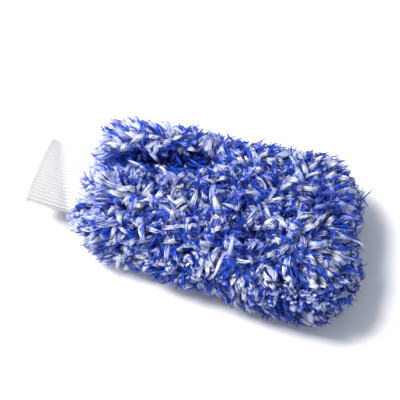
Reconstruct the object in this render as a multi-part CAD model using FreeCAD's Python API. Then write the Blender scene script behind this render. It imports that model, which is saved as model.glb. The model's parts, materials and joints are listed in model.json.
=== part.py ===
"""Wash mitt: a plush pile shell around a sewn hand pocket, with a rib-knit cuff.

Frame: +X runs to the fingertips, the cuff is at -X, +Z is up, millimetres.
The origin is the middle of the bounding box in plan, on the surface the mitt lies on.
Every section is first placed by its distance from the neck seam, along +X.
"""
import FreeCAD, Part
import math
import os

from FreeCAD import Vector

# Driving dimensions.
PILE_LENGTH = 248.0          # neck seam to the ends of the pile at the fingertips
PILE_NECK_FACE = 6.0         # the pile's end face behind the cuff, just past the neck seam
SHOULDER_REACH = -9.0        # the pile's shoulders reach back on both sides of the cuff
NOTCH_HALF_WIDTH = 38.5      # the gap between the shoulders that the cuff bends in
MID_HEIGHT = 33.0            # the plane of the side seams, above the surface
PILE_HALF_HEIGHT = 38.5      # pile envelope above the side seams
SHELL_LENGTH = 227.0         # neck seam to the backing's fingertip end
FINGER_SLANT = 0.19          # the fingertip end runs off square, as a slope in plan

BACKING_THICKNESS = 1.2
LINING_THICKNESS = 0.8
LINING_GAP_SIDE = 3.0        # room for the seam threads between backing and lining
LINING_GAP_FACE = 1.4        # between the flat faces of backing and lining
NECK_HALF_WIDTH = 36.0       # the backing's neck, and the cuff that meets it
NECK_HALF_HEIGHT = 9.6
NECK_OVERRUN = 5.0           # what hollows out a cloth runs on past the neck

CUFF_START = -9.0
CUFF_END = -58.5
CUFF_WALL = 2.2              # the knit is folded double
CUFF_NECK_HEIGHT = 32.0      # heights of the cuff's centre line
CUFF_VALLEY_HEIGHT = 26.5
CUFF_MOUTH_HEIGHT = 28.5
CUFF_OVERRUN = 0.01          # what hollows out the cuff runs on past its ends

ELASTIC_THICKNESS = 1.0
ELASTIC_HALF_WIDTH = 34.6
ELASTIC_HALF_HEIGHT = 8.4
ELASTIC_GAP = 0.3            # to the backing's neck and to the cuff
THREAD_RADIUS = 0.4
THREAD_CLEARANCE = 0.3       # between a stitch and the cloth it closes
SEAM_STITCH_HEIGHT = 3.0     # across the two edges that the side seams close
SHELL_SEAM_START = 7.0       # the side seams' first stitches, past the neck
LINING_SEAM_START = 10.0
NECK_STITCH_LENGTH = 3.0
NECK_STITCH_START = 0.4      # past the neck
CUFF_STITCH_START = 0.2      # past the cuff's inner end
STITCH_PITCH = 6.0
NECK_STITCHES = 44
TACK_RADIUS = 1.1
TACK_HEIGHT = 5.0

SECTION_POINTS = 28
BODY_POWER = 2.4             # superellipse power of the pile envelope's sections
FLAT_POWER = 2.7             # and of the flatter pocket and cuff sections

# Distance from the neck seam, half-width and half-height of the backing's outside.
BACKING_SECTIONS = [
    (-1.0, NECK_HALF_WIDTH, NECK_HALF_HEIGHT),
    (18.0, 40.5, 11.0),
    (50.0, 46.0, 12.6),
    (100.0, 50.0, 13.2),
    (150.0, 54.0, 13.2),
    (190.0, 57.0, 12.6),
    (212.0, 54.0, 10.4),
    (222.0, 45.0, 7.8),
    (SHELL_LENGTH, 30.0, 5.4),
]

# The same for the pile's outside, with how far its middle lies to the +Y side:
# the far shoulder is the fuller one.
PILE_SECTIONS = [
    (SHOULDER_REACH, 4.0, 47.0, 16.0),
    (-3.0, 4.5, 56.5, 24.0),
    (9.0, 4.0, 64.5, 30.5),
    (32.0, 2.0, 70.0, 35.6),
    (64.0, 1.0, 72.0, 38.0),
    (105.0, 1.0, 74.5, PILE_HALF_HEIGHT),
    (150.0, 1.0, 78.5, PILE_HALF_HEIGHT),
    (195.0, 1.5, 81.0, 37.8),
    (218.0, 2.0, 79.0, 34.0),
    (234.0, 2.0, 69.0, 26.0),
    (PILE_LENGTH, 1.0, 52.0, 14.0),
]

# Distance from the neck seam, centre height, half-width and half-height of the cuff.
CUFF_SECTIONS = [
    (CUFF_START, CUFF_NECK_HEIGHT, NECK_HALF_WIDTH, 9.2),
    (-24.0, 29.0, 36.6, 9.0),
    (-40.0, CUFF_VALLEY_HEIGHT, 37.0, 8.8),
    (-50.5, 27.2, 36.8, 9.0),
    (CUFF_END, CUFF_MOUTH_HEIGHT, 36.4, 9.2),
]


def superellipse(half_width, half_height, power):
    """Points of |y/a|^p + |z/b|^p = 1, counter-clockwise seen from +X."""
    points = []
    for index in range(SECTION_POINTS):
        angle = 2.0 * math.pi * index / SECTION_POINTS
        cosine = math.cos(angle)
        sine = math.sin(angle)
        y = half_width * math.copysign(abs(cosine) ** (2.0 / power), cosine)
        z = half_height * math.copysign(abs(sine) ** (2.0 / power), sine)
        points.append((y, z))
    return points


def slope_at(distance):
    """How far a section at this distance is turned off square."""
    along = max(0.0, distance) / SHELL_LENGTH
    return FINGER_SLANT * along ** 1.5


def section_wire(distance, centre_height, half_width, half_height, power, to_side=0.0):
    """One closed section, in a plane that leans with the slanted fingertip end."""
    slope = slope_at(distance)
    points = []
    for across, z in superellipse(half_width, half_height, power):
        y = across + to_side
        points.append(Vector(distance - slope * y, y, centre_height + z))
    curve = Part.BSplineCurve()
    curve.interpolate(Points=points, PeriodicFlag=True)
    return Part.Wire([curve.toShape()])


def loft(sections, power):
    """A closed solid through (distance, centre height, half-width, half-height)."""
    wires = [section_wire(x, z, a, b, power) for x, z, a, b in sections]
    return Part.makeLoft(wires, True, False)


def pocket_solid(side_inset, face_inset, neck_extension=0.0):
    """The backing's outside, drawn in evenly, with its neck end pushed out if asked."""
    sections = []
    for x, half_width, half_height in BACKING_SECTIONS:
        inset_x = x
        if x > SHELL_LENGTH / 2:
            inset_x = x - side_inset
        sections.append((inset_x, MID_HEIGHT, half_width - side_inset, half_height - face_inset))
    if neck_extension:
        x, z, a, b = sections[0]
        sections[0] = (x - neck_extension, z, a, b)
    return loft(sections, FLAT_POWER)


def half_space(upper):
    """A block that holds everything on one side of the side seams."""
    reach = 400.0
    bottom = MID_HEIGHT if upper else MID_HEIGHT - reach
    return Part.makeBox(2 * reach, 2 * reach, reach, Vector(-reach, -reach, bottom))


def block_between(x_low, x_high, half_width=200.0):
    """Everything between two distances, as wide as asked."""
    reach = 200.0
    corner = Vector(x_low, -half_width, -reach)
    return Part.makeBox(x_high - x_low, 2 * half_width, 2 * reach, corner)


def above_surface():
    reach = 400.0
    return Part.makeBox(2 * reach, 2 * reach, reach, Vector(-reach, -reach, 0.0))


def halves(shape):
    return shape.common(half_space(True)), shape.common(half_space(False))


def make_pile():
    """The pile as a thick envelope round the backing, in an upper and a lower half."""
    wires = []
    for x, to_side, half_width, half_height in PILE_SECTIONS:
        wires.append(section_wire(x, MID_HEIGHT, half_width, half_height, BODY_POWER, to_side))
    envelope = Part.makeLoft(wires, True, False).common(above_surface())
    notch = block_between(SHOULDER_REACH - 1.0, PILE_NECK_FACE, NOTCH_HALF_WIDTH)
    body = envelope.cut(notch).cut(pocket_solid(0.0, 0.0))
    return halves(body)


def make_backing():
    outside = pocket_solid(0.0, 0.0)
    inside = pocket_solid(BACKING_THICKNESS, BACKING_THICKNESS, neck_extension=NECK_OVERRUN)
    return halves(outside.cut(inside).common(block_between(0.0, PILE_LENGTH)))


def make_lining():
    side = BACKING_THICKNESS + LINING_GAP_SIDE
    face = BACKING_THICKNESS + LINING_GAP_FACE
    outside = pocket_solid(side, face)
    inside = pocket_solid(side + LINING_THICKNESS, face + LINING_THICKNESS, neck_extension=NECK_OVERRUN)
    return halves(outside.cut(inside).common(block_between(0.0, PILE_LENGTH)))


def seam_points(inset, pitch):
    """Points round the side seam, drawn in from the backing's outside."""
    outline = pocket_solid(inset, inset).slice(Vector(0, 0, 1), MID_HEIGHT)[0]
    return outline.discretize(Distance=pitch)


def upright(point, radius, height):
    """A short rod across the plane of the side seams."""
    return Part.makeCylinder(radius, height, Vector(point.x, point.y, MID_HEIGHT - height / 2))


def seam_stitches(inset, first, tacks):
    """Upright stitches round the side seam, from a distance past the neck, clear of the tacks."""
    room = TACK_RADIUS + THREAD_RADIUS + THREAD_CLEARANCE
    stitches = []
    for point in seam_points(inset, STITCH_PITCH):
        nearest = min(point.distanceToPoint(tack) for tack in tacks)
        if point.x > first and nearest > room:
            stitches.append(upright(point, THREAD_RADIUS, SEAM_STITCH_HEIGHT))
    return Part.makeCompound(stitches)


def tack_points():
    """The lining's two fingertip corners, midway between lining and backing."""
    outline = seam_points(BACKING_THICKNESS + LINING_GAP_SIDE / 2, 1.0)
    corners = []
    for side in (-1, 1):
        edge = [point for point in outline if point.y * side > 0]
        corners.append(max(edge, key=lambda point: point.x + abs(point.y)))
    return corners


def make_tacks(points):
    """Two bar tacks that hold the lining's fingertip corners to the backing."""
    return Part.makeCompound([upright(point, TACK_RADIUS, TACK_HEIGHT) for point in points])


def ring_stitches(half_width, half_height, centre_height, first):
    """Stitches lying along X, evenly round a flat ring of cloth."""
    curve = section_wire(0.0, centre_height, half_width, half_height, FLAT_POWER)
    stitches = []
    for point in curve.discretize(Number=NECK_STITCHES + 1)[:-1]:
        base = Vector(first, point.y, point.z)
        stitches.append(Part.makeCylinder(THREAD_RADIUS, NECK_STITCH_LENGTH, base, Vector(1, 0, 0)))
    return Part.makeCompound(stitches)


def make_neck_elastic():
    """A flat elastic ring between the backing's neck and the knit cuff."""
    ends = [(CUFF_START + ELASTIC_GAP, CUFF_NECK_HEIGHT), (-ELASTIC_GAP, MID_HEIGHT)]
    rings = []
    for inset in (0.0, ELASTIC_THICKNESS):
        width = ELASTIC_HALF_WIDTH - inset
        height = ELASTIC_HALF_HEIGHT - inset
        rings.append(loft([(x, z, width, height) for x, z in ends], FLAT_POWER))
    outside, inside = rings
    return outside.cut(inside)


def make_cuff():
    """The knit tube: an open sleeve that dips across its middle."""
    inside = []
    for x, z, a, b in CUFF_SECTIONS:
        inside.append((x, z, a - CUFF_WALL, b - CUFF_WALL))
    x, z, a, b = inside[0]
    inside[0] = (x + CUFF_OVERRUN, z, a, b)
    x, z, a, b = inside[-1]
    inside[-1] = (x - CUFF_OVERRUN, z, a, b)
    return loft(CUFF_SECTIONS, FLAT_POWER).cut(loft(inside, FLAT_POWER))


def make_neck_stitches():
    """Stitches that close the neck, between the backing and the lining."""
    inset = BACKING_THICKNESS + THREAD_CLEARANCE + THREAD_RADIUS
    spread = 0.15            # the neck has opened by this much halfway along a stitch
    half_width = NECK_HALF_WIDTH - inset + spread
    half_height = NECK_HALF_HEIGHT - inset + spread
    return ring_stitches(half_width, half_height, MID_HEIGHT, NECK_STITCH_START)


def make_cuff_stitches():
    """Stitches just inside the knit, where it joins the elastic."""
    _, centre_height, half_width, half_height = CUFF_SECTIONS[0]
    inset = CUFF_WALL + THREAD_CLEARANCE + THREAD_RADIUS
    dip = 0.9                # the knit's centre line falls this much along a stitch
    first = CUFF_START - NECK_STITCH_LENGTH - CUFF_STITCH_START
    half_width -= inset
    half_height -= inset + dip / 2
    return ring_stitches(half_width, half_height, centre_height - dip / 2, first)


def build():
    backing_inset = BACKING_THICKNESS + THREAD_CLEARANCE + THREAD_RADIUS
    lining_inset = BACKING_THICKNESS + LINING_GAP_SIDE - THREAD_CLEARANCE - THREAD_RADIUS
    corners = tack_points()
    nodes = {}
    nodes["pile_top"], nodes["pile_bottom"] = make_pile()
    nodes["shell_backing_top"], nodes["shell_backing_bottom"] = make_backing()
    nodes["lining_top"], nodes["lining_bottom"] = make_lining()
    nodes["shell_seam_thread"] = seam_stitches(backing_inset, SHELL_SEAM_START, corners)
    nodes["lining_seam_thread"] = seam_stitches(lining_inset, LINING_SEAM_START, corners)
    nodes["lining_tacks"] = make_tacks(corners)
    nodes["neck_elastic"] = make_neck_elastic()
    nodes["neck_seam_thread"] = make_neck_stitches()
    nodes["cuff_knit"] = make_cuff()
    nodes["cuff_seam_thread"] = make_cuff_stitches()
    return nodes


def exact_box(shape):
    """The box of the surface itself, not of its control points."""
    return shape.optimalBoundingBox(False, False)


def centre_in_plan(nodes):
    """Move everything so the origin is under the middle of the bounding box."""
    box = exact_box(Part.makeCompound(list(nodes.values())))
    shift = Vector(-(box.XMin + box.XMax) / 2, -(box.YMin + box.YMax) / 2, -box.ZMin)
    print("neck seam is at x = %.3f, shift y = %.3f, z = %.3f" % (shift.x, shift.y, shift.z))
    for shape in nodes.values():
        shape.translate(shift)


os.makedirs("parts", exist_ok=True)
model = build()
centre_in_plan(model)
for name, shape in model.items():
    shape.exportStep("parts/%s.step" % name)
    box = exact_box(shape)
    print(
        "%-22s solids %3d volume %9.1f valid %s x %.1f..%.1f y %.1f..%.1f z %.1f..%.1f"
        % (name, len(shape.Solids), shape.Volume, shape.isValid(),
           box.XMin, box.XMax, box.YMin, box.YMax, box.ZMin, box.ZMax)
    )
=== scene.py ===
"""The looks of a plush wash mitt: separate yarns in tufts over a padded core, and a rib-knit cuff.

Everything is in metres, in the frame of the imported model: +X to the fingertips, cuff at -X, +Z up.
"""

import json
import math
from types import SimpleNamespace

import bpy
import numpy as np
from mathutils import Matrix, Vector
from mathutils.bvhtree import BVHTree


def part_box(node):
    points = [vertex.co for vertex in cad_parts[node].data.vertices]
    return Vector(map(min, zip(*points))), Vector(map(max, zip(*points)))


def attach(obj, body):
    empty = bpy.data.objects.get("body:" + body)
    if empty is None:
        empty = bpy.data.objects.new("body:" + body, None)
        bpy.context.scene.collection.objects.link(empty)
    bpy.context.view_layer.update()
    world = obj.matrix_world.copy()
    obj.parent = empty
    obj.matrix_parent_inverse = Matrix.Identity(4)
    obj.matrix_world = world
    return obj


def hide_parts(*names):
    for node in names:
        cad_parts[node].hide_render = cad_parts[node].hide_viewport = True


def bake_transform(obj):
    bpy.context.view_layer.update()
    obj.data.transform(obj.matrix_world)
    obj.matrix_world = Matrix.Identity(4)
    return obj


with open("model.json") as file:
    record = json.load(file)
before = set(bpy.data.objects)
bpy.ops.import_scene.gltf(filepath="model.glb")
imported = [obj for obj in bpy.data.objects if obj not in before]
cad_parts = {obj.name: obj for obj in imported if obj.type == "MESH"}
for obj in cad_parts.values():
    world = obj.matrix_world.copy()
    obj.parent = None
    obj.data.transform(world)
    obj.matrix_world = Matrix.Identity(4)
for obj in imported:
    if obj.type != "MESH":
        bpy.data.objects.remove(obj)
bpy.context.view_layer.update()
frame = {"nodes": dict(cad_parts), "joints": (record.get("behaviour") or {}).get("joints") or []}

MM = 0.001
TAU = 2.0 * math.pi

# Places that the frame gives.
PILE_LOW = np.array(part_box("pile_bottom")[0])
PILE_HIGH = np.array(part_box("pile_top")[1])
MID_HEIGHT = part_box("pile_top")[0].z
NECK_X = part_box("shell_backing_top")[0].x
CUFF_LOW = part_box("cuff_knit")[0]
HINGE = frame["joints"][0]["pos_m"]

# The grid of points on the pile's outside, measured by rays towards a flat plate inside it.
SKELETON_HALF_WIDTH = 46 * MM
SKELETON_INSET_NECK = 34 * MM
SKELETON_INSET_TIP = 52 * MM
SKELETON_NECK_SHARE = 0.62        # of its width, at the neck
NECK_RING_ANGLE = math.radians(158)
GRID_ROWS = 96
GRID_COLUMNS = 128
RAY_REACH = 0.4
SMOOTH_PASSES = 6
SMOOTH_NECK = 0.6                 # how far each pass moves a point, near the neck and elsewhere
SMOOTH_BODY = 0.25

# The pile's lumps: height and size.
BROAD_LUMPS = (1.6 * MM, 46 * MM)
FINE_LUMPS = (1.1 * MM, 17 * MM)
LUMPS_FROM = (4 * MM, 20 * MM)    # they start and reach their full height at these heights

# The crease that the gathered neck pulls into the upper side, and the lobes beside it.
CREASE_START = np.array([NECK_X + 8 * MM, 2 * MM])
CREASE_END = np.array([NECK_X + 112 * MM, 36 * MM])
CREASE_DEPTH = 24 * MM
CREASE_HALF_WIDTH = 8 * MM
CREASE_WIDENING = 0.3             # from its start to its end
CREASE_FADE_IN = (-0.3, 0.05)     # shares of its length
CREASE_FADE_OUT = (0.6, 1.15)
LOBE_FADE_OUT = (0.15, 0.85)
LOBE_OFFSET = 2.6                 # from the crease's line, in its half-widths
LOBE_HALF_WIDTH = 1.6
LOBE_HEIGHT = 0.2                 # of the crease's depth

# The far corner of the fingertips is squarer than the others.
SQUARE_CORNER = np.array([PILE_HIGH[0] - 16 * MM, PILE_HIGH[1] - 14 * MM])
CORNER_REACH = 22 * MM
CORNER_SWELL = 5.5 * MM

# The dense under-pile.
CORE_DEPTH = 12 * MM              # below the tips
CORE_NECK_SHARE = 0.5             # of that depth, at the neck
CORE_NECK_REACH = 24 * MM
CORE_WOBBLE = (0.8 * MM, 7 * MM)
CORE_FLOOR = 1.5 * MM
CORE_FACING_UP = 0.6              # where it faces up more than this, it stays above the backing
COVER_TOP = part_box("shell_backing_top")[1].z + 2 * MM    # nothing of the pile starts below

# The tufts.
UNDER_FACING = -0.55              # the pile is pressed flat where it faces down more than this
UNDER_HEIGHT = 9 * MM             # and is lower than this
UNDER_SPACING = 2.1               # tufts stand this much wider there
HEEL_START = 2 * MM               # past the neck: the pile is longest up to here
HEEL_END = 48 * MM                # and back to its normal length here
LEAN_CENTRE = np.array([NECK_X + 115 * MM, 0.0, MID_HEIGHT])
LEAN_HALF_SIZE = np.array([130 * MM, 80 * MM, 50 * MM])
LEAN_EDGE = (0.6, 1.1)            # shares of that half size between which the edge begins
LEAN_DOWN = -0.5
LEAN_OUTWARD = (0.15, 1.1)        # in the middle, and how much more at the edge
LEAN_AT_RANDOM = (1.15, -0.5)
LEAN_BACK = 1.6                   # at the heel
SWIRLS = (2.4, 26 * MM)           # how far the tufts turn, in radians, and how soon
SWIRL_SPREAD = 0.5
PATCH_SIZE = 17 * MM              # of the places with more blue or less
EDGE_FACING = (0.1, 0.7)          # how far up the pile faces, from its edge to its upper side
LEVEL_FACING = (0.7, 0.95)        # and from there to its level middle
NEAR_SIDE = (15 * MM, 50 * MM)    # from the middle line, to where it is all near side
HEEL_UNEVEN = (0.3, 1.0)          # shares of the heel's extra length
OVER_RANGE = (20.0, 96.0)         # in degrees: how far a tuft may lie over
LOW_SUNK = 3.1 * MM               # most tufts end this far below the surface
TUFT_UNEVEN = 1.2 * MM
PROUD_RISE = 3.0 * MM             # the proud ones lie over them
PROUD_LONGER = 4.0 * MM
PROUD_FLATTER = 12.0              # in degrees
CALM_LESS_PROUD = 0.6             # the level middle has so many fewer of them
CALM_SHORTER = 1.5 * MM
NEAR_SHORTER = 0.6                # the near side has so much less of the heel's length
SHADE = (0.55, 0.30)              # mean and spread
# Painted light: the proud tufts, which stand up into the light, are lighter.
PROUD_PAINTED_LIGHT = 0.15
# Painted shade: the tufts in the crease are darker.
CREASE_PAINTED_SHADE = 0.3
ROOT_DEPTH = 2.0 * MM             # below the top of the under-pile
LEAST_DEPTH = 3.0 * MM
BACKING_FACING = 0.4              # the backing is below where the pile faces up more than this
STEEPEST = 0.3                    # for measuring down to it

# The yarns.
YARN_STEPS = 5
YARN_SIDES = 3
YARN_THICKNESS = (0.75, 1.2)      # thinnest and thickest, times its colour's own
YARN_END_POWER = 0.6              # how round its end is
MOST_TRIANGLES = 180_000          # in one piece of pile
SHORTEST = 6 * MM
LONGEST = 30 * MM
LEAST_RISE = 0.4                  # of its length
START_OVER = 0.15                 # in radians: how far a yarn may lie over at its root
OVER_SPREAD = 0.05
OVER_POWER = 1.2                  # how late a yarn turns over, and how late it curls
CURL_POWER = 2.5
TUFT_FLATNESS = 0.7
STRAYS = 0.2                      # share of the yarns that wander off, thin, from their tuft
HEEL_STRAYS = 0.55                # and at the neck
STRAY_THINNER = 0.55
WANDER = 0.25 * MM
STRAY_WANDER = 5.0                # times as much again
WANDER_TURNS = (4.0, 3.5)         # in radians, sideways and forwards
LIFT_SHARE = 0.6                  # how a tuft's fore and aft spread shares between up and forwards
FORE_SHARE = 0.4
SET_BACK = 0.4                    # of its run, so that a tuft's middle is over its place
YARN_FLOOR = 0.6 * MM             # a yarn's centre line stays above this
FLOOR_GIVE = 0.10                 # the deeper ones lie a little higher on the others
ROOM_SLACK = np.array([5.0, 5.0, 6.0]) * MM
ROOM_SQUEEZE = 0.8                # of what is outside it
STITCH_ROOM = np.array([4.0, 3.0, 8.0]) * MM

# The fringe over the cuff.
FRINGE_LAYERS = [1.5 * MM, 4.5 * MM, 8.0 * MM]
FRINGE_START = NECK_X - 6 * MM
FRINGE_SPREAD = 3.0 * MM          # along the mitt
FRINGE_STEP = 0.6                 # how far each layer starts further on, of its height
FRINGE_FACING = np.array([1.0, 0.35, 0.5])
FRINGE_LEAN = np.array([-0.5, 0.0, -0.6])
FRINGE_LEAN_SPREAD = 0.5
FRINGE_OVER = (34.0, 14.0)        # in degrees: mean and spread
FRINGE_OVER_RANGE = (8.0, 60.0)
FRINGE_UNEVEN = 2.0 * MM
FRINGE_DEPTH = 17.0 * MM
FRINGE_SHADE = (0.55, 0.25)

# The cuff.
RIBS = 44
CUFF_RIB_SAMPLES = 8
CUFF_ROWS = 64
CUFF_START = NECK_X + 4 * MM
CUFF_END = CUFF_LOW.x + 0.8 * MM
CUFF_HALF_WIDTH = 36.6 * MM
CUFF_HALF_HEIGHT = 8.9 * MM
CUFF_POWER = 2.7                  # how square its outline is
CUFF_MOUTH_HALF_HEIGHT = 6.8 * MM
CUFF_MOUTH_POWER = 2.1
CUFF_FLATTENS = (0.2, 0.7)        # its outline changes between these shares of its length
OUTLINE_SAMPLES = 2001
CUFF_NECK = HINGE[2] - 0.5 * MM   # heights of its centre line
CUFF_VALLEY = 27.0 * MM
CUFF_MOUTH = 28.5 * MM
CUFF_FALL_FROM = 0.14             # shares of its length
VALLEY_EASE = 0.04
VALLEY_SHARE = 0.59               # where its valley lies along it
VALLEY_SLANT = 0.28               # how much further out the valley is at the far side
CUFF_FOLD_ROWS = 10
CUFF_SWAY = 0.6 * MM              # to the sides, and how far it turns over the cuff's length
SWAY_TURN = 7.0
KNIT_THICKNESS = 1.6 * MM
RIB_HEIGHT = 0.45 * MM
RIB_POWER = 0.6                   # below 1: broad ribs, narrow grooves
INNER_FLATTER = 0.4               # how much flatter the ribs are on the inner ply
RIM_FLATTER = 0.5                 # and at the folded edge
RIM_SWELL = 0.5 * MM
RIM_BULGE = 0.8 * MM
RIM_FROM = 0.93                   # share of its length
VALLEY_DENT = 0.7 * MM            # how much deeper its upper side is there, for this share
VALLEY_LENGTH = 0.11              # of its length
DIMPLE = 2.2 * MM                 # deeper still here
DIMPLE_ACROSS = -26 * MM
DIMPLE_HALF_WIDTH = 12 * MM
ELASTIC_INSET = 2.3 * MM          # inside the knit
ELASTIC_THICKNESS = 1.0 * MM
ELASTIC_ROWS = 6

# The materials.
ROOT_SHADE_TO = 0.22              # along a yarn: painted shade, as dark as its root up to here
OWN_SHADE_FROM = 0.65             # and of its own shade from here
GLOW_REACH = 3.0 * MM
# Painted shade: the under-pile's dark navy stands for the shade deep between the yarns.
CORE_DARK = (0.002, 0.010, 0.16)
CORE_LIGHT = (0.010, 0.03, 0.30)
KNIT_DARKEST = 0.86               # of its colour
WAVE_PACE = 20.0                  # radians per metre of Blender's wave texture at scale 1

# The view.
AZIMUTH = math.radians(17.0)
ELEVATION = math.radians(57.0)
DISTANCE = 1.35
LENS = 131.0
FRAME_MIDDLE = Vector((NECK_X + 116 * MM, HINGE[1] + 0.5 * MM, 30 * MM))
FRAME_RIGHT = -14.4 * MM          # from there to the middle of the picture
FRAME_UP = 12.4 * MM

# The floor and the lights.
FLOOR_HALF = 6.0
FLOOR_COLOUR = (0.96, 0.94, 0.92)
KEY_PLACE = (-1.4, 0.05, 1.7)
KEY_AIM = (0.0, 0.0, 0.0)
KEY_SIZE = 1.1
KEY_POWER = 102.0
SKY_COLOUR = (0.78, 0.85, 1.0)
SKY_STRENGTH = 0.55


# ---------------------------------------------------------------- small tools


def unit(vectors):
    length = np.linalg.norm(vectors, axis=-1, keepdims=True)
    return vectors / np.maximum(length, 1e-9)


def smooth(value, low, high):
    t = np.clip((value - low) / (high - low), 0.0, 1.0)
    return t * t * (3.0 - 2.0 * t)


def wave_field(points, wavelength, seed, waves=14):
    """Soft random numbers about 0, spread about 1, that change over one wavelength in space."""
    rng = np.random.default_rng(seed)
    total = np.zeros(len(points))
    for _ in range(waves):
        direction = unit(rng.normal(size=3))
        pace = TAU / (wavelength * rng.uniform(0.7, 1.5))
        total += np.sin(points @ direction * pace + rng.uniform(0.0, TAU))
    return total * math.sqrt(2.0 / waves)


def new_object(name, mesh):
    obj = bpy.data.objects.new(name, mesh)
    bpy.context.scene.collection.objects.link(obj)
    return obj


def mesh_from_arrays(name, points, quads, triangles=None):
    """A smooth-shaded mesh from arrays of points, four-sided and three-sided faces."""
    mesh = bpy.data.meshes.new(name)
    corners = [quads.ravel()]
    sizes = [np.full(len(quads), 4)]
    if triangles is not None and len(triangles):
        corners.append(triangles.ravel())
        sizes.append(np.full(len(triangles), 3))
    corners = np.concatenate(corners).astype(np.int32)
    sizes = np.concatenate(sizes).astype(np.int32)
    starts = np.concatenate([[0], np.cumsum(sizes)[:-1]]).astype(np.int32)
    mesh.vertices.add(len(points))
    mesh.vertices.foreach_set("co", points.astype(np.float32).ravel())
    mesh.loops.add(len(corners))
    mesh.loops.foreach_set("vertex_index", corners)
    mesh.polygons.add(len(sizes))
    mesh.polygons.foreach_set("loop_start", starts)
    mesh.polygons.foreach_set("use_smooth", np.ones(len(sizes), bool))
    mesh.update(calc_edges=True)
    mesh.validate()
    return mesh


def ring_faces(rings, columns, closed=False):
    """Four-sided faces between rings of points; closed: the last ring also meets the first."""
    starts = np.arange(rings if closed else rings - 1)
    row, column = np.meshgrid(starts, np.arange(columns), indexing="ij")
    after = (column + 1) % columns
    below = (row + 1) % rings
    faces = np.stack([row * columns + column, row * columns + after,
                      below * columns + after, below * columns + column], -1)
    return faces.reshape(-1, 4)


# ---------------------------------------------------------------- materials


def fabric(name, build):
    """A material whose nodes the function adds; it gets the node tree and the shader."""
    material = bpy.data.materials.new(name)
    material.use_nodes = True
    tree = material.node_tree
    shader = tree.nodes["Principled BSDF"]
    build(tree, shader)
    return material


def node(tree, kind, **settings):
    made = tree.nodes.new(kind)
    for key, value in settings.items():
        setattr(made, key, value)
    return made


def ramp(tree, factor, stops):
    made = node(tree, "ShaderNodeValToRGB")
    elements = made.color_ramp.elements
    while len(elements) < len(stops):
        elements.new(0.5)
    for element, (position, colour) in zip(elements, stops):
        element.position = position
        element.color = (*colour, 1.0)
    tree.links.new(factor, made.inputs["Fac"])
    return made.outputs["Color"]


def noise_texture(tree, scale, detail=2.0):
    made = node(tree, "ShaderNodeTexNoise")
    made.inputs["Scale"].default_value = scale
    made.inputs["Detail"].default_value = detail
    return made.outputs["Fac"]


def add_bump(tree, shader, height, strength, distance):
    """Fine relief in the shading, from a texture."""
    bump = node(tree, "ShaderNodeBump")
    bump.inputs["Strength"].default_value = strength
    bump.inputs["Distance"].default_value = distance
    tree.links.new(height, bump.inputs["Height"])
    tree.links.new(bump.outputs["Normal"], shader.inputs["Normal"])


def yarn_material(name, root, dark, light, roughness, sheen, sheen_tint, glow):
    """Yarn: painted shade at its root, its own shade further along, and the light that passes into
    it.
    """

    def build(tree, shader):
        along = node(tree, "ShaderNodeAttribute", attribute_name="along")
        shade = node(tree, "ShaderNodeAttribute", attribute_name="shade")
        own = ramp(tree, shade.outputs["Fac"], [(0.0, dark), (1.0, light)])
        depth = node(tree, "ShaderNodeMapRange")
        depth.inputs["From Min"].default_value = ROOT_SHADE_TO
        depth.inputs["From Max"].default_value = OWN_SHADE_FROM
        tree.links.new(along.outputs["Fac"], depth.inputs["Value"])
        mix = node(tree, "ShaderNodeMix", data_type="RGBA")
        # Painted shade: the yarn's colour darkens down to its root colour, where the pile shades it.
        mix.inputs["A"].default_value = (*root, 1.0)
        tree.links.new(depth.outputs["Result"], mix.inputs["Factor"])
        tree.links.new(own, mix.inputs["B"])
        tree.links.new(mix.outputs["Result"], shader.inputs["Base Color"])
        shader.inputs["Roughness"].default_value = roughness
        shader.inputs["Sheen Weight"].default_value = sheen
        shader.inputs["Sheen Roughness"].default_value = 0.5
        shader.inputs["Sheen Tint"].default_value = (*sheen_tint, 1.0)
        shader.inputs["Specular IOR Level"].default_value = 0.15
        shader.inputs["Subsurface Weight"].default_value = glow
        shader.inputs["Subsurface Radius"].default_value = (1.0, 1.0, 1.0)
        shader.inputs["Subsurface Scale"].default_value = GLOW_REACH
        add_bump(tree, shader, noise_texture(tree, 2600.0), strength=0.25, distance=0.2 * MM)

    return fabric(name, build)


# Each yarn's root colour is painted shade.
BLUE_YARN = yarn_material(
    "blue_yarn",
    root=(0.001, 0.003, 0.07), dark=(0.002, 0.008, 0.13), light=(0.026, 0.10, 0.72),
    roughness=0.45, sheen=0.12, sheen_tint=(0.3, 0.5, 1.0), glow=0.0,
)
# Its navy root is painted shade. Its lavender dark end is partly the yarn's own tint and partly
# painted blue light bounced into its shade.
WHITE_YARN = yarn_material(
    "white_yarn",
    root=(0.006, 0.02, 0.32), dark=(0.36, 0.45, 1.0), light=(0.97, 0.98, 1.0),
    roughness=0.7, sheen=0.3, sheen_tint=(0.9, 0.92, 1.0), glow=0.25,
)


def core_material():
    """The dense under-pile, seen only down between the yarns; its dark navy is painted shade."""

    def build(tree, shader):
        noise = noise_texture(tree, 420.0, detail=4.0)
        colour = ramp(tree, noise, [(0.42, CORE_DARK), (0.58, CORE_LIGHT)])
        tree.links.new(colour, shader.inputs["Base Color"])
        shader.inputs["Roughness"].default_value = 0.9
        add_bump(tree, shader, noise, strength=0.8, distance=1.0 * MM)

    return fabric("under_pile", build)


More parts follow.
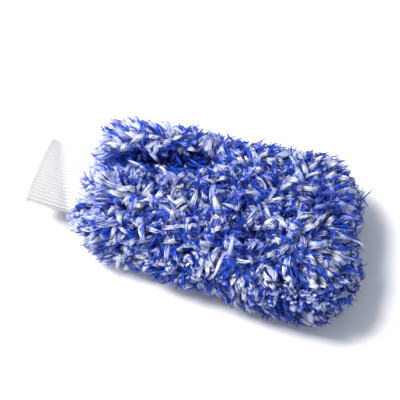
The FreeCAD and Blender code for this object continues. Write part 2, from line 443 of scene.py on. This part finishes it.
def knit_material(name, colour, pitch, strength):
    """Knit cloth: fine rows of stitches, one pitch from the next, and a slightly uneven colour."""

    def build(tree, shader):
        place = node(tree, "ShaderNodeTexCoord")
        wave = node(tree, "ShaderNodeTexWave", wave_type="BANDS", bands_direction="X")
        wave.inputs["Scale"].default_value = TAU / pitch / WAVE_PACE
        wave.inputs["Distortion"].default_value = 1.2
        wave.inputs["Detail"].default_value = 2.0
        tree.links.new(place.outputs["Object"], wave.inputs["Vector"])
        darker = tuple(KNIT_DARKEST * part for part in colour)
        shade = ramp(tree, noise_texture(tree, 900.0), [(0.3, darker), (0.7, colour)])
        tree.links.new(shade, shader.inputs["Base Color"])
        shader.inputs["Roughness"].default_value = 0.85
        shader.inputs["Sheen Weight"].default_value = 0.2
        add_bump(tree, shader, wave.outputs["Fac"], strength, distance=0.3 * MM)

    return fabric(name, build)


# Painted shade: the white rib knit is coloured grey, so it shows no brighter than the pile's whites.
RIB_KNIT = knit_material("rib_knit", (0.448, 0.443, 0.434), pitch=1.3 * MM, strength=0.35)
LINING_KNIT = knit_material("lining_knit", (0.72, 0.73, 0.76), pitch=0.9 * MM, strength=0.3)
BACKING_KNIT = knit_material("backing_knit", (0.16, 0.20, 0.45), pitch=1.1 * MM, strength=0.4)
THREAD = knit_material("sewing_thread", (0.85, 0.86, 0.9), pitch=0.5 * MM, strength=0.5)
ELASTIC = knit_material("elastic_band", (0.86, 0.86, 0.86), pitch=0.8 * MM, strength=0.5)
UNDER_PILE = core_material()


def dress_cad_nodes():
    """The carried-over CAD pieces keep their shapes and get cloth and thread materials."""
    for name, obj in frame["nodes"].items():
        material = THREAD
        if name in ("lining_top", "lining_bottom"):
            material = LINING_KNIT
        if name.startswith("shell_backing"):
            material = BACKING_KNIT
        obj.data.materials.clear()
        obj.data.materials.append(material)


# ---------------------------------------------------------------- the pile's surface


def pile_tree():
    """The outside of the CAD pile, for measuring rays."""
    points = []
    faces = []
    for name in ("pile_top", "pile_bottom"):
        mesh = frame["nodes"][name].data
        base = len(points)
        points += [vertex.co.copy() for vertex in mesh.vertices]
        faces += [[base + index for index in face.vertices] for face in mesh.polygons]
    return BVHTree.FromPolygons(points, faces)


def envelope_grid():
    """Points on the pile's outside: rows from the neck ring to the fingertips, columns around."""
    tree = pile_tree()
    neck_spine = NECK_X + SKELETON_INSET_NECK
    tip_spine = PILE_HIGH[0] - SKELETON_INSET_TIP
    cap_rows = GRID_ROWS // 4
    rows = []
    for index in range(cap_rows):
        share = index / cap_rows
        angle = NECK_RING_ANGLE + (math.pi / 2 - NECK_RING_ANGLE) * share
        plate = SKELETON_NECK_SHARE + (1.0 - SKELETON_NECK_SHARE) * share
        rows.append((neck_spine, angle, plate))
    middle_rows = GRID_ROWS - 2 * cap_rows
    for index in range(middle_rows):
        share = index / middle_rows
        rows.append((neck_spine + (tip_spine - neck_spine) * share, math.pi / 2, 1.0))
    for index in range(cap_rows + 1):
        share = index / cap_rows
        rows.append((tip_spine, math.pi / 2 * (1.0 - share), 1.0))
    grid = np.zeros((len(rows), GRID_COLUMNS, 3))
    for i, (spine, angle, plate) in enumerate(rows):
        for j in range(GRID_COLUMNS):
            around = TAU * j / GRID_COLUMNS
            out = Vector((math.cos(angle), math.sin(angle) * math.cos(around),
                          math.sin(angle) * math.sin(around)))
            origin = Vector((spine, plate * SKELETON_HALF_WIDTH * math.cos(around), MID_HEIGHT))
            hit = tree.ray_cast(origin + out * RAY_REACH, -out, RAY_REACH)[0]
            if hit is None:
                hit = origin
            grid[i, j] = hit
    return smoothed(grid, cap_rows)


def smoothed(grid, rows):
    """The same grid with its corners round the neck and the resting edge eased."""
    for _ in range(SMOOTH_PASSES):
        around = 0.5 * (np.roll(grid, 1, axis=1) + np.roll(grid, -1, axis=1))
        along = grid.copy()
        along[1:-1] = 0.5 * (grid[2:] + grid[:-2])
        share = np.full(len(grid), SMOOTH_BODY)
        share[:rows] = SMOOTH_NECK
        mean = 0.5 * (around + along)
        grid = grid + share[:, None, None] * (mean - grid)
    return grid


def grid_normals(grid):
    """Outward normals of the grid, from its neighbours."""
    along = np.gradient(grid, axis=0)
    around = np.roll(grid, -1, axis=1) - np.roll(grid, 1, axis=1)
    normals = unit(np.cross(around, along))
    normals[-1] = unit(normals[-2].mean(axis=0))
    top = normals[len(grid) // 2, GRID_COLUMNS // 4]
    if top[2] < 0:
        normals = -normals
    return normals


def crease_shape(points, normals):
    """How much each point of the upper side is in the crease, and on the lobes beside it."""
    line = CREASE_END - CREASE_START
    length = np.linalg.norm(line)
    line = line / length
    offset = points[:, :2] - CREASE_START
    along = (offset @ line) / length
    side = offset @ np.array([-line[1], line[0]])
    fade = smooth(along, *CREASE_FADE_IN) * (1.0 - smooth(along, *CREASE_FADE_OUT))
    width = CREASE_HALF_WIDTH * (1.0 + CREASE_WIDENING * np.clip(along, 0, 1))
    groove = np.exp(-(side / width) ** 2)
    from_lobe = (np.abs(side) - LOBE_OFFSET * width) / (LOBE_HALF_WIDTH * width)
    lobes = np.exp(-from_lobe ** 2)
    lobes *= 1.0 - smooth(along, *LOBE_FADE_OUT)
    facing_up = smooth(normals[:, 2], 0.0, 0.5)
    fade = fade * facing_up
    return groove * fade, lobes * fade


def crease(points, normals):
    """How far the gathered neck pulls the upper surface in, and its lobes push out."""
    groove, lobes = crease_shape(points, normals)
    return CREASE_DEPTH * (LOBE_HEIGHT * lobes - groove)


def relief(points, normals):
    """The pile's own lumps, its square corner, and the crease."""
    broad = BROAD_LUMPS[0] * wave_field(points, BROAD_LUMPS[1], seed=3)
    fine = FINE_LUMPS[0] * wave_field(points, FINE_LUMPS[1], seed=4)
    off_floor = smooth(points[:, 2], *LUMPS_FROM)
    from_corner = np.linalg.norm(points[:, :2] - SQUARE_CORNER, axis=1) / CORNER_REACH
    corner = CORNER_SWELL * np.exp(-from_corner ** 2)
    return (broad + fine + corner) * off_floor + crease(points, normals)


def build_surface():
    """The tips of the pile as a grid of points, and the normals there."""
    grid = envelope_grid()
    normals = grid_normals(grid)
    flat_points = grid.reshape(-1, 3)
    flat_normals = normals.reshape(-1, 3)
    height = relief(flat_points, flat_normals)
    tips = flat_points + flat_normals * height[:, None]
    tips = tips.reshape(grid.shape)
    return tips, grid_normals(tips)


TIPS, NORMALS = build_surface()


def core_depth(points):
    """The under-pile lies deeper in the open pile than at the neck."""
    from_neck = points[..., 0] - NECK_X
    open_share = smooth(from_neck, 0.0, CORE_NECK_REACH)
    return CORE_DEPTH * (CORE_NECK_SHARE + (1.0 - CORE_NECK_SHARE) * open_share)


def make_core():
    """The dense under-pile as one closed body that the long yarns stand on."""
    inner = TIPS - NORMALS * core_depth(TIPS)[..., None]
    deep = (NORMALS[..., 2] > CORE_FACING_UP) & (inner[..., 2] < COVER_TOP)
    inner[..., 2] = np.where(deep, COVER_TOP, inner[..., 2])
    rows, columns, _ = inner.shape
    points = inner.reshape(-1, 3)
    wobble = CORE_WOBBLE[0] * wave_field(points, CORE_WOBBLE[1], seed=9)
    points = points + NORMALS.reshape(-1, 3) * wobble[:, None]
    points[:, 2] = np.maximum(points[:, 2], CORE_FLOOR)
    mesh = mesh_from_arrays("pile_core", points, ring_faces(rows, columns))
    mesh.materials.append(UNDER_PILE)
    obj = new_object("pile_core", mesh)
    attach(obj, "mitt")
    return obj


# ---------------------------------------------------------------- tufts and yarns


def scatter(rng, spacing, wanted):
    """Points spread evenly over the surface by area, where wanted(points, normals) says so."""
    a = TIPS[:-1]
    b = TIPS[1:]
    a_next = np.roll(a, -1, axis=1)
    b_next = np.roll(b, -1, axis=1)
    area = 0.5 * np.linalg.norm(np.cross(b_next - a, b - a_next), axis=-1)
    total = np.cumsum(area.ravel())
    count = int(total[-1] / (spacing * spacing))
    marks = (np.arange(count) + rng.uniform(0.0, 1.0, count)) / count * total[-1]
    cell = np.minimum(np.searchsorted(total, marks), len(total) - 1)
    row = cell // GRID_COLUMNS
    column = cell % GRID_COLUMNS
    u = rng.uniform(0.0, 1.0, count)[:, None]
    v = rng.uniform(0.0, 1.0, count)[:, None]

    def between(field):
        near = field[row, column] * (1 - v) + field[row, (column + 1) % GRID_COLUMNS] * v
        far = field[row + 1, column] * (1 - v) + field[row + 1, (column + 1) % GRID_COLUMNS] * v
        return near * (1 - u) + far * u

    points = between(TIPS)
    normals = unit(between(NORMALS))
    picked = wanted(points, normals)
    return points[picked], normals[picked]


def is_under(points, normals):
    """Where the mitt lies on its pile."""
    return (normals[:, 2] < UNDER_FACING) & (points[:, 2] < UNDER_HEIGHT)


def is_seen(points, normals):
    return ~is_under(points, normals)


def heel(points):
    """1 at the neck, where the pile is longest and lies back over the cuff, to 0 further on."""
    return 1.0 - smooth(points[:, 0] - NECK_X, HEEL_START, HEEL_END)


def lean_direction(points, normals, rng):
    """Which way each tuft lies over: outwards at the edges, down the sides, in swirls on top."""
    outward = (points - LEAN_CENTRE) / LEAN_HALF_SIZE
    outward[:, 2] = LEAN_DOWN
    swirl = SWIRLS[0] * wave_field(points, SWIRLS[1], seed=21)
    swirl += rng.normal(0.0, SWIRL_SPREAD, len(points))
    random = np.stack([np.cos(swirl), np.sin(swirl), 0.0 * swirl], -1)
    edge = smooth(np.linalg.norm(outward[:, :2], axis=1), *LEAN_EDGE)[:, None]
    aim = outward * (LEAN_OUTWARD[0] + LEAN_OUTWARD[1] * edge)
    aim += random * (LEAN_AT_RANDOM[0] + LEAN_AT_RANDOM[1] * edge)
    aim[:, 0] -= LEAN_BACK * heel(points)
    aim -= normals * np.sum(aim * normals, axis=1, keepdims=True)
    return unit(aim)


# What the two colours are like. The shares (in_crease to proud) are from 0, none, to 1, all. Few
# white tufts in the crease is painted shade there, and fewer blue tufts on the lobes beside it is
# painted light.
BLUE = SimpleNamespace(
    name="blue", material=BLUE_YARN, slot="blue_pile",
    spacing=2.55 * MM, yarns=6, radius=0.46 * MM, mottle=0.12,
    root=0.9 * MM, belly=1.0 * MM, tip=0.12 * MM, blunt=2.0, ragged=0.5 * MM,
    longer=1.6 * MM, heel_longer=7 * MM, curl=0.30, over=(74.0, 14.0),
    in_crease=1.0, at_heel=0.5, on_lobes=0.55, in_fringe=0.35, at_edge=1.0, patchy=0.35, proud=0.26,
)
WHITE = SimpleNamespace(
    name="white", material=WHITE_YARN, slot="white_yarn",
    spacing=4.15 * MM, yarns=18, radius=0.39 * MM, mottle=0.18,
    root=1.2 * MM, belly=1.6 * MM, tip=1.3 * MM, blunt=3.0, ragged=1.3 * MM,
    longer=-1.0 * MM, heel_longer=5 * MM, curl=0.24, over=(74.0, 15.0),
    in_crease=0.1, at_heel=1.0, on_lobes=1.0, in_fringe=1.0, at_edge=0.7, patchy=0.0, proud=0.26,
)


class Tufts:
    """Where every tuft of one colour stands, and how it leans, curls and is shaded."""

    def __init__(self, lock, seed, spacing, wanted):
        rng = np.random.default_rng(seed)
        self.rng = rng
        self.tip, self.normal = scatter(rng, spacing, wanted)
        groove, lobes = crease_shape(self.tip, self.normal)
        # Painted shade: few white tufts in the crease keep it dark blue. Painted light: fewer blue
        # tufts on the lobes keep them whiter.
        share = 1.0 - (1.0 - lock.in_crease) * np.clip(2.0 * groove, 0.0, 1.0)
        share *= 1.0 - (1.0 - lock.at_heel) * heel(self.tip) * (1.0 - groove)
        share *= 1.0 - (1.0 - lock.on_lobes) * lobes
        edge = 1.0 - smooth(self.normal[:, 2], *EDGE_FACING)
        share *= 1.0 - (1.0 - lock.at_edge) * edge * (1.0 - heel(self.tip))
        share *= 1.0 - lock.patchy * (0.5 + 0.5 * wave_field(self.tip, PATCH_SIZE, seed=31))
        kept = rng.uniform(0.0, 1.0, len(self.tip)) < share
        self.tip = self.tip[kept]
        self.normal = self.normal[kept]
        self.lean = lean_direction(self.tip, self.normal, rng)
        count = len(self.tip)
        back = heel(self.tip)
        calm = smooth(self.normal[:, 2], *LEVEL_FACING) * (1.0 - back)
        proud = rng.uniform(0.0, 1.0, count) < lock.proud * (1.0 - CALM_LESS_PROUD * calm)
        over = rng.normal(*lock.over, count) + PROUD_FLATTER * proud
        self.over = np.radians(np.clip(over, *OVER_RANGE))
        self.rise = rng.normal(-LOW_SUNK, TUFT_UNEVEN, count) + PROUD_RISE * proud
        near_side = smooth(-self.tip[:, 1], *NEAR_SIDE)
        back = back * (1.0 - NEAR_SHORTER * near_side)
        self.longer = lock.longer + lock.heel_longer * back * rng.uniform(*HEEL_UNEVEN, count)
        self.longer = self.longer + PROUD_LONGER * proud - CALM_SHORTER * calm
        self.curl = rng.normal(0.0, lock.curl, count)
        self.depth = root_depth(self.tip, self.normal)
        # Painted light on the proud tufts and painted shade in the crease, added to each tuft's
        # random shade.
        shade = rng.normal(*SHADE, count) + PROUD_PAINTED_LIGHT * proud - CREASE_PAINTED_SHADE * groove[kept]
        self.shade = np.clip(shade, 0.0, 1.0)


def pick_strays(rng, points):
    """1 for each yarn that wanders off from its tuft, 0 for the others."""
    share = STRAYS + (HEEL_STRAYS - STRAYS) * heel(points)
    return (rng.uniform(0.0, 1.0, len(points)) < share).astype(float)


def root_depth(points, normals):
    """How far below its tip a tuft starts: in the under-pile, and never inside the backing."""
    depth = core_depth(points) + ROOT_DEPTH
    room = (points[:, 2] - COVER_TOP) / np.maximum(normals[:, 2], STEEPEST)
    over_backing = normals[:, 2] > BACKING_FACING
    return np.where(over_backing, np.minimum(depth, np.maximum(room, LEAST_DEPTH)), depth)


def yarn_lines(tufts, lock):
    """For every yarn: the tuft it belongs to, its centre line, and whether it is a stray."""
    rng = tufts.rng
    index = np.repeat(np.arange(len(tufts.tip)), lock.yarns)
    count = len(index)
    steps = np.linspace(0.0, 1.0, YARN_STEPS + 1)
    normal = tufts.normal[index]
    lean = tufts.lean[index]
    across = np.cross(normal, lean)
    depth = tufts.depth[index]
    over = tufts.over[index] + rng.normal(0.0, OVER_SPREAD, count)
    start = rng.uniform(0.0, START_OVER, count)
    turn = start[:, None] + (over - start)[:, None] * steps[None, :] ** OVER_POWER
    middle = 0.5 * (turn[:, 1:] + turn[:, :-1])
    rise = np.cumsum(np.cos(middle), axis=1) / YARN_STEPS
    run = np.cumsum(np.sin(middle), axis=1) / YARN_STEPS
    height = depth + tufts.rise[index] + rng.normal(0.0, lock.ragged, count)
    length = height / np.maximum(rise.max(axis=1), LEAST_RISE) + tufts.longer[index]
    length = np.clip(length, SHORTEST, LONGEST)
    zero = np.zeros((count, 1))
    rise = np.concatenate([zero, rise], axis=1) * length[:, None]
    run = np.concatenate([zero, run], axis=1) * length[:, None]
    angle = rng.uniform(0.0, TAU, count)
    reach = np.sqrt(rng.uniform(0.0, 1.0, count))
    width = lock.root + (lock.tip - lock.root) * steps + lock.belly * np.sin(math.pi * steps)
    side = (reach * np.cos(angle))[:, None] * width[None, :]
    fore = (reach * np.sin(angle))[:, None] * width[None, :] * TUFT_FLATNESS
    side = side + (tufts.curl[index] * length)[:, None] * steps[None, :] ** CURL_POWER
    stray = pick_strays(rng, tufts.tip[index])
    wander = rng.normal(0.0, WANDER, (2, count, 1)) * (1.0 + STRAY_WANDER * stray[None, :, None])
    phase = rng.uniform(0.0, TAU, (count, 1))
    side = side + wander[0] * steps * np.sin(phase + WANDER_TURNS[0] * steps)
    fore = fore + wander[1] * steps * np.cos(phase + WANDER_TURNS[1] * steps)
    upward = rise + LIFT_SHARE * fore
    forward = run - SET_BACK * run[:, -1:] + FORE_SHARE * fore
    root = tufts.tip[index] - normal * depth[:, None]
    line = root[:, None, :] + normal[:, None, :] * upward[..., None]
    line += lean[:, None, :] * forward[..., None]
    line += across[:, None, :] * side[..., None]
    return index, line, stray


def keep_in_room(line):
    """Yarns lie on the surface that the mitt rests on, and stay in the pile's own room."""
    sunk = np.maximum(YARN_FLOOR - line[..., 2], 0.0)
    line[..., 2] = np.maximum(line[..., 2], YARN_FLOOR) + FLOOR_GIVE * sunk
    over = np.maximum(line - (PILE_HIGH + ROOM_SLACK), 0.0)
    line = line - ROOM_SQUEEZE * over
    under = np.maximum(PILE_LOW - ROOM_SLACK - line, 0.0)
    under[..., 2] = 0.0
    return line + ROOM_SQUEEZE * under


def clear_of_stitches(line):
    """False for each yarn that the cuff's stitches would meet when the cuff bends."""
    low, high = (np.array(corner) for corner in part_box("cuff_seam_thread"))
    inside = np.all((line > low - STITCH_ROOM) & (line < high + STITCH_ROOM), axis=-1)
    return ~inside.any(axis=1)


def tube_mesh(name, line, radius, sides, shade):
    """Every yarn as a closed tapering tube, with its shade and its place along as attributes."""
    count, rings, _ = line.shape
    tangent = unit(np.gradient(line, axis=1))
    helper = np.broadcast_to(np.array([0.31, 0.55, 0.77]), tangent.shape)
    first = unit(np.cross(tangent, helper))
    second = np.cross(tangent, first)
    angles = TAU * np.arange(sides) / sides
    ring = (first[:, :, None, :] * np.cos(angles)[None, None, :, None]
            + second[:, :, None, :] * np.sin(angles)[None, None, :, None])
    body = line[:, :, None, :] + ring * radius[:, :, None, None]
    body = body[:, :-1]
    per_yarn = (rings - 1) * sides + 1
    points = np.concatenate([body.reshape(count, -1, 3), line[:, -1:, :]], axis=1)
    base = np.arange(count)[:, None] * per_yarn
    quads = []
    for step in range(rings - 2):
        for side in range(sides):
            after = (side + 1) % sides
            low = step * sides
            high = low + sides
            quads.append([low + side, low + after, high + after, high + side])
    quads = (base[:, None, :] + np.array(quads)[None]).reshape(-1, 4)
    last = (rings - 2) * sides
    triangles = [[last + side, last + (side + 1) % sides, per_yarn - 1] for side in range(sides)]
    triangles += [[0, side + 1, side] for side in range(1, sides - 1)]
    triangles = (base[:, None, :] + np.array(triangles)[None]).reshape(-1, 3)
    mesh = mesh_from_arrays(name, points.reshape(-1, 3), quads, triangles)
    along = np.repeat(np.linspace(0.0, 1.0, rings)[:-1], sides)
    along = np.append(along, 1.0)
    attribute = mesh.attributes.new("along", "FLOAT", "POINT")
    attribute.data.foreach_set("value", np.tile(along, count).astype(np.float32))
    attribute = mesh.attributes.new("shade", "FLOAT", "POINT")
    attribute.data.foreach_set("value", np.repeat(shade, per_yarn).astype(np.float32))
    return mesh


def make_yarns(lock, tufts, place):
    """One colour's yarns of these tufts, in pieces that follow each other along the mitt."""
    index, line, stray = yarn_lines(tufts, lock)
    line = keep_in_room(line)
    rng = tufts.rng
    steps = np.linspace(0.0, 1.0, YARN_STEPS + 1)
    profile = (1.0 - steps ** lock.blunt) ** YARN_END_POWER
    size = lock.radius * rng.uniform(*YARN_THICKNESS, len(line)) * (1.0 - STRAY_THINNER * stray)
    radius = size[:, None] * profile[None, :]
    shade = np.clip(tufts.shade[index] + rng.normal(0.0, lock.mottle, len(line)), 0.0, 1.0)
    triangles_each = 2 * YARN_SIDES * YARN_STEPS - 2
    parts = math.ceil(len(line) * triangles_each / MOST_TRIANGLES)
    order = np.argsort(np.argsort(tufts.tip[:, 0], kind="stable"), kind="stable")
    part = order * parts // len(order)
    kept = np.full(len(line), True) if place == "fringe" else clear_of_stitches(line)
    made = []
    for number in range(parts):
        picked = kept & (part[index] == number)
        name = "pile_%s_%s_%d" % (lock.name, place, number + 1)
        mesh = tube_mesh(name, line[picked], radius[picked], YARN_SIDES, shade[picked])
        mesh.materials.append(lock.material)
        obj = new_object(name, mesh)
        made.append(obj)
    return made


def make_pile():
    """The long pile: wide white tufts, and pointed blue ones between and over them."""
    for seed, lock in ((5, WHITE), (6, BLUE)):
        seen = Tufts(lock, seed, lock.spacing, is_seen)
        under = Tufts(lock, seed + 2, lock.spacing * UNDER_SPACING, is_under)
        for obj in make_yarns(lock, seen, "upper") + make_yarns(lock, under, "under"):
            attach(obj, "mitt")


# ---------------------------------------------------------------- the fringe over the cuff


class FringeTufts:
    """Tufts in rings round the neck, lying back over the cuff."""

    def __init__(self, lock, seed):
        rng = np.random.default_rng(seed)
        self.rng = rng
        tips = []
        normals = []
        for layer in FRINGE_LAYERS:
            half_width = CUFF_HALF_WIDTH + layer
            half_height = CUFF_HALF_HEIGHT + layer
            around_length = 4.0 * (half_width + 0.8 * half_height)
            count = int(around_length / lock.spacing * lock.in_fringe)
            angle = TAU * (np.arange(count) + rng.uniform(0.0, 1.0, count)) / count
            around = np.stack([0.0 * angle, np.cos(angle), np.sin(angle)], -1)
            place = outline_point(angle, half_width, half_height, CUFF_POWER)
            x = FRINGE_START + rng.normal(0.0, FRINGE_SPREAD, count) + FRINGE_STEP * layer
            tips.append(np.stack([x, place[:, 0] + HINGE[1], place[:, 1] + HINGE[2]], -1))
            normals.append(unit(around * FRINGE_FACING + np.array([-1.0, 0.0, 0.0])))
        self.tip = np.concatenate(tips)
        self.normal = np.concatenate(normals)
        count = len(self.tip)
        aim = FRINGE_LEAN + rng.normal(0.0, FRINGE_LEAN_SPREAD, (count, 3))
        aim -= self.normal * np.sum(aim * self.normal, axis=1, keepdims=True)
        self.lean = unit(aim)
        over = rng.normal(*FRINGE_OVER, count)
        self.over = np.radians(np.clip(over, *FRINGE_OVER_RANGE))
        self.rise = rng.normal(0.0, FRINGE_UNEVEN, count)
        self.longer = rng.uniform(0.0, 1.0, count) * lock.heel_longer
        self.curl = rng.normal(0.0, lock.curl, count)
        self.depth = np.full(count, FRINGE_DEPTH)
        self.shade = np.clip(rng.normal(*FRINGE_SHADE, count), 0.0, 1.0)


def outline_point(angle, half_width, half_height, power):
    """A point of a flat oval outline, across and up from its middle."""
    cosine = np.cos(angle)
    sine = np.sin(angle)
    across = half_width * np.sign(cosine) * np.abs(cosine) ** (2.0 / power)
    up = half_height * np.sign(sine) * np.abs(sine) ** (2.0 / power)
    return np.stack([across, up], -1)


def make_fringe():
    """The fringe's yarns round the neck, lying back over the cuff."""
    for seed, lock in ((11, WHITE), (12, BLUE)):
        for obj in make_yarns(lock, FringeTufts(lock, seed), "fringe"):
            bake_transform(obj)


# ---------------------------------------------------------------- the cuff


def valley_share(across):
    """Where along the cuff its valley lies: nearer the mitt on the near side."""
    return VALLEY_SHARE + VALLEY_SLANT * across / CUFF_HALF_WIDTH


def cuff_centre(share, across):
    """Height of the cuff's middle from the neck, share 0, over its valley to its free edge, 1."""
    valley = valley_share(across)
    fall = (CUFF_VALLEY - CUFF_NECK) * smooth(share, CUFF_FALL_FROM, valley + VALLEY_EASE)
    climb = (CUFF_MOUTH - CUFF_VALLEY) * smooth(share, valley - VALLEY_EASE, 1.0)
    return CUFF_NECK + fall + climb


def cuff_outline(share, turns):
    """The cuff's outline at this share of its length: across, up, and the way out of it."""
    flat = smooth(share, *CUFF_FLATTENS)
    power = CUFF_POWER + (CUFF_MOUTH_POWER - CUFF_POWER) * flat
    half_height = CUFF_HALF_HEIGHT + (CUFF_MOUTH_HALF_HEIGHT - CUFF_HALF_HEIGHT) * flat
    fine = np.linspace(0.0, 1.0, OUTLINE_SAMPLES)
    place = outline_point(TAU * fine, CUFF_HALF_WIDTH, half_height, power)
    length = np.concatenate([[0], np.cumsum(np.linalg.norm(np.diff(place, axis=0), axis=1))])
    even = np.interp(turns * length[-1], length, fine)
    place = outline_point(TAU * even, CUFF_HALF_WIDTH, half_height, power)
    shape = place / np.array([CUFF_HALF_WIDTH, half_height])
    out = np.sign(shape) * np.abs(shape) ** (power - 1)
    out = unit(out / np.array([CUFF_HALF_WIDTH, half_height]))
    return place, out


def cuff_rows():
    """Every row's share of the length, bulge past the free edge, and ply: 0 outer, 1 inner."""
    along = np.linspace(0.0, 1.0, CUFF_ROWS)
    rows = [(share, 0.0, 0.0) for share in along]
    for step in range(1, CUFF_FOLD_ROWS):
        turn = math.pi * step / CUFF_FOLD_ROWS
        rows.append((1.0, math.sin(turn), 0.5 - 0.5 * math.cos(turn)))
    return rows + [(share, 0.0, 1.0) for share in along[::-1]]


def make_cuff():
    """The rib-knit cuff: an outer ply, a rounded folded edge and an inner ply, all one cloth."""
    columns = RIBS * CUFF_RIB_SAMPLES
    turns = np.arange(columns) / columns
    rib_wave = 0.5 + 0.5 * np.cos(TAU * RIBS * turns)
    rib = RIB_HEIGHT * (2.0 * rib_wave ** RIB_POWER - 1.0)
    rings = []
    rows = cuff_rows()
    for share, bulge, ply in rows:
        place, out = cuff_outline(share, turns)
        rim = smooth(share, RIM_FROM, 1.0)
        inset = ply * KNIT_THICKNESS - RIM_SWELL * rim * (1.0 - 2.0 * ply)
        top = np.maximum(out[:, 1], 0.0)
        near = np.exp(-((place[:, 0] - DIMPLE_ACROSS) / DIMPLE_HALF_WIDTH) ** 2)
        fold = np.exp(-((share - valley_share(place[:, 0])) / VALLEY_LENGTH) ** 2)
        dent = (VALLEY_DENT + DIMPLE * near) * fold * top
        ring = np.zeros((columns, 3))
        ring[:, 0] = CUFF_START + (CUFF_END - CUFF_START) * share - RIM_BULGE * bulge
        ring[:, 1] = place[:, 0] + HINGE[1] + CUFF_SWAY * math.sin(SWAY_TURN * share)
        ring[:, 2] = place[:, 1] + cuff_centre(share, place[:, 0]) - dent
        lift = rib * (1.0 - INNER_FLATTER * ply) * (1.0 - RIM_FLATTER * rim) - inset
        ring[:, 1:] += out * lift[:, None]
        rings.append(ring)
    outward = ring_faces(len(rows), columns)[:, [0, 3, 2, 1]]
    mesh = mesh_from_arrays("cuff_rib_knit", np.concatenate(rings), outward)
    mesh.materials.append(RIB_KNIT)
    obj = new_object("cuff_rib_knit", mesh)
    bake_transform(obj)
    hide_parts("cuff_knit")


def make_elastic():
    """The flat elastic band in the neck, shaped to follow the cuff's cloth."""
    columns = RIBS * 2
    turns = np.arange(columns) / columns
    low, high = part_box("neck_elastic")
    rings = []
    corners = [(low.x, 0.0), (high.x, 0.0), (high.x, 1.0), (low.x, 1.0), (low.x, 0.0)]
    for (x_from, ply_from), (x_to, ply_to) in zip(corners[:-1], corners[1:]):
        for step in range(ELASTIC_ROWS):
            t = step / ELASTIC_ROWS
            x = x_from + (x_to - x_from) * t
            ply = ply_from + (ply_to - ply_from) * t
            place, out = cuff_outline(0.0, turns)
            share = (CUFF_START - x) / (CUFF_START - CUFF_LOW.x)
            ring = np.zeros((columns, 3))
            ring[:, 0] = x
            ring[:, 1] = place[:, 0] + HINGE[1]
            ring[:, 2] = place[:, 1] + cuff_centre(share, place[:, 0])
            ring[:, 1:] -= out * (ELASTIC_INSET + ELASTIC_THICKNESS * ply)
            rings.append(ring)
    faces = ring_faces(len(rings), columns, closed=True)
    mesh = mesh_from_arrays("neck_band", np.concatenate(rings), faces)
    mesh.materials.append(ELASTIC)
    obj = new_object("neck_band", mesh)
    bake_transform(obj)
    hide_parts("neck_elastic")


# ---------------------------------------------------------------- stage


def make_camera():
    level = math.cos(ELEVATION)
    back = Vector((math.sin(AZIMUTH) * level, -math.cos(AZIMUTH) * level, math.sin(ELEVATION)))
    right = Vector((math.cos(AZIMUTH), math.sin(AZIMUTH), 0.0))
    up = back.cross(right)
    aim = FRAME_MIDDLE + right * FRAME_RIGHT + up * FRAME_UP
    data = bpy.data.cameras.new("camera")
    data.lens = LENS
    camera = new_object("camera", data)
    camera.location = aim + back * DISTANCE
    camera.rotation_mode = "QUATERNION"
    camera.rotation_quaternion = (-back).to_track_quat("-Z", "Y")
    data.clip_end = 20.0
    bpy.context.scene.camera = camera


def make_floor():
    mesh = bpy.data.meshes.new("floor")
    corners = [(-FLOOR_HALF, -FLOOR_HALF, 0), (FLOOR_HALF, -FLOOR_HALF, 0),
               (FLOOR_HALF, FLOOR_HALF, 0), (-FLOOR_HALF, FLOOR_HALF, 0)]
    mesh.from_pydata(corners, [], [(0, 1, 2, 3)])
    floor = new_object("floor", mesh)
    material = fabric("pale_floor", lambda tree, shader: None)
    shader = material.node_tree.nodes["Principled BSDF"]
    shader.inputs["Base Color"].default_value = (*FLOOR_COLOUR, 1.0)
    shader.inputs["Roughness"].default_value = 0.9
    mesh.materials.append(material)


def area_light(name, place, aim, size, power):
    """A square lamp at one place that shines at another."""
    data = bpy.data.lights.new(name, "AREA")
    data.size = size
    data.energy = power
    light = new_object(name, data)
    light.location = place
    direction = Vector(aim) - Vector(place)
    light.rotation_mode = "QUATERNION"
    light.rotation_quaternion = direction.to_track_quat("-Z", "Y")


def make_lights():
    area_light("key", KEY_PLACE, KEY_AIM, KEY_SIZE, KEY_POWER)
    world = bpy.data.worlds.new("studio")
    bpy.context.scene.world = world
    world.use_nodes = True
    background = world.node_tree.nodes["Background"]
    background.inputs["Color"].default_value = (*SKY_COLOUR, 1.0)
    background.inputs["Strength"].default_value = SKY_STRENGTH
    bpy.context.scene.view_settings.view_transform = "Standard"


# ---------------------------------------------------------------- everything

dress_cad_nodes()
core = make_core()
make_pile()
make_fringe()
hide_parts("pile_top", "pile_bottom")
make_cuff()
make_elastic()
make_camera()
make_floor()
make_lights()
